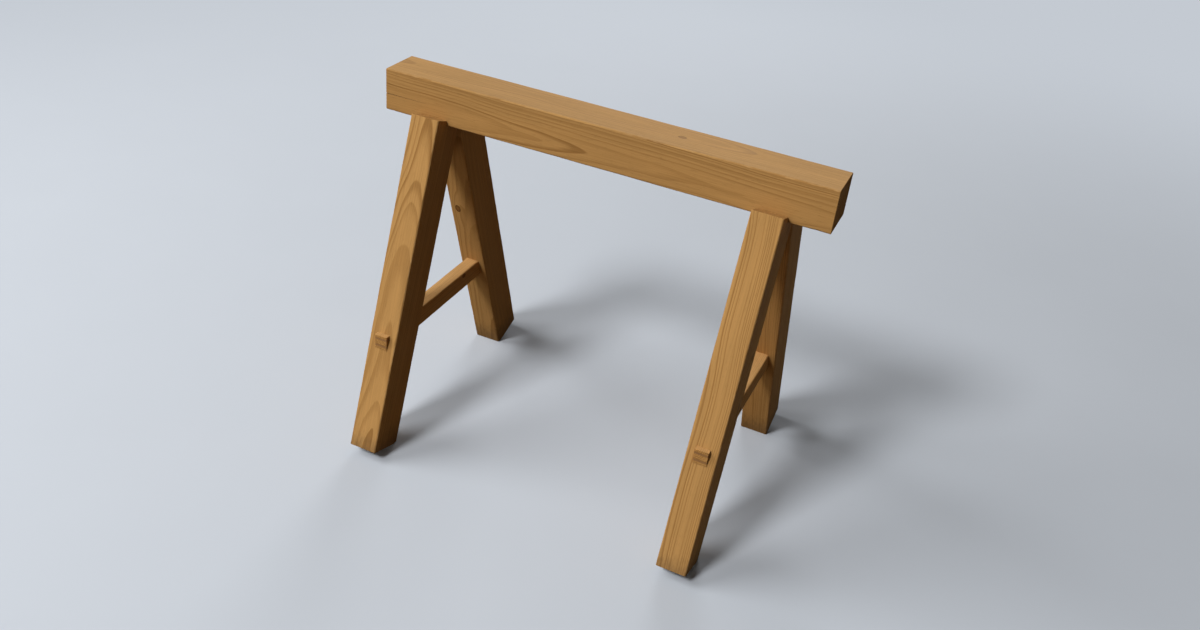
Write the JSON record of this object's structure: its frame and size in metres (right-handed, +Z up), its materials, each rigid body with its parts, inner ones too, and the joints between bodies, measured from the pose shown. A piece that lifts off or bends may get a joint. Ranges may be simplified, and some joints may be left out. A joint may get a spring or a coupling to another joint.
{
  "type": "builders trestle",
  "caption": "Timber builder's trestle: a square-edged beam on splayed leg frames, held by wedged through tenons and fox-wedged leg heads, to carry boards or work.",
  "frame": {"origin": "on the floor under the middle of the beam", "axes": "+X along the beam, +Y across the trestle towards the back legs, +Z up"},
  "size_m": [1, 0.6706, 0.82],
  "materials": {
    "beam_timber": "planed softwood, bare",
    "leg_timber": "planed softwood, bare",
    "stretcher_timber": "planed softwood, bare",
    "wedge_wood": "split hardwood, glued"
  },
  "bodies": {
    "root": {"top_beam": "beam_timber", "leg_front_left": "leg_timber", "leg_front_right": "leg_timber", "leg_back_left": "leg_timber", "leg_back_right": "leg_timber", "stretcher_left": "stretcher_timber", "stretcher_right": "stretcher_timber", "tenon_wedge_front_left_lower": "wedge_wood", "tenon_wedge_front_left_upper": "wedge_wood", "tenon_wedge_front_right_lower": "wedge_wood", "tenon_wedge_front_right_upper": "wedge_wood", "tenon_wedge_back_left_lower": "wedge_wood", "tenon_wedge_back_left_upper": "wedge_wood", "tenon_wedge_back_right_lower": "wedge_wood", "tenon_wedge_back_right_upper": "wedge_wood", "fox_wedge_front_left_inner": "wedge_wood", "fox_wedge_front_left_outer": "wedge_wood", "fox_wedge_front_right_inner": "wedge_wood", "fox_wedge_front_right_outer": "wedge_wood", "fox_wedge_back_left_inner": "wedge_wood", "fox_wedge_back_left_outer": "wedge_wood", "fox_wedge_back_right_inner": "wedge_wood", "fox_wedge_back_right_outer": "wedge_wood"}
  },
  "joints": []
}
